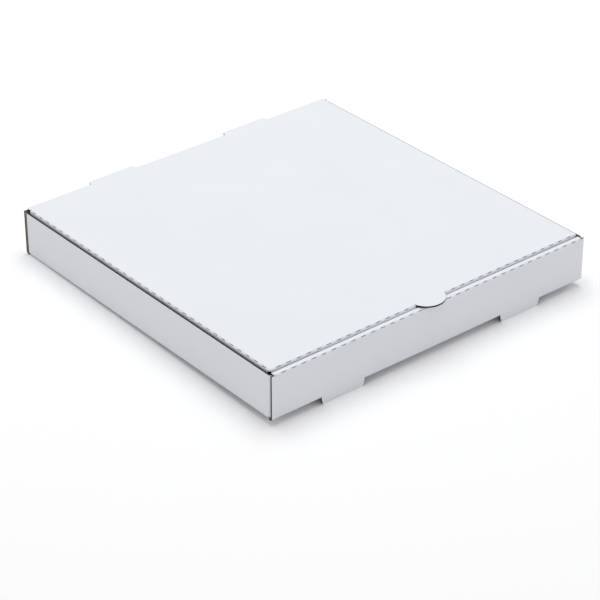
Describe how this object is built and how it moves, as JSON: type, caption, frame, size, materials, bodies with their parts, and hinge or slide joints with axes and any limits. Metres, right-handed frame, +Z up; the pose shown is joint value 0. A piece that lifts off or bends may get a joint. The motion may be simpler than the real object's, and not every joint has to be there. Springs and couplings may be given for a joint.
{
  "type": "pizza box",
  "caption": "Flat square take-away box folded from white corrugated board, with a rolled-over double front wall, front feet, rear vents and a hinged lid with a thumb tab.",
  "frame": {"origin": "under the middle of the box, level with the bottom of its front feet", "axes": "+X to the box's right, +Y to the back wall that carries the lid, +Z up"},
  "size_m": [0.364, 0.374, 0.0527],
  "materials": {
    "white_corrugated_board": "matte white outer liner, brown kraft inside and at the cut edges"
  },
  "bodies": {
    "tray": {"tray": "white_corrugated_board"},
    "lid": {"lid": "white_corrugated_board"}
  },
  "joints": [
    {"name": "lid_hinge", "type": "hinge", "parent": "tray", "child": "lid", "pos_m": [0, 0.1812, 0.0519], "axis": [-1, 0, 0], "range_deg": [0, 180]}
  ]
}
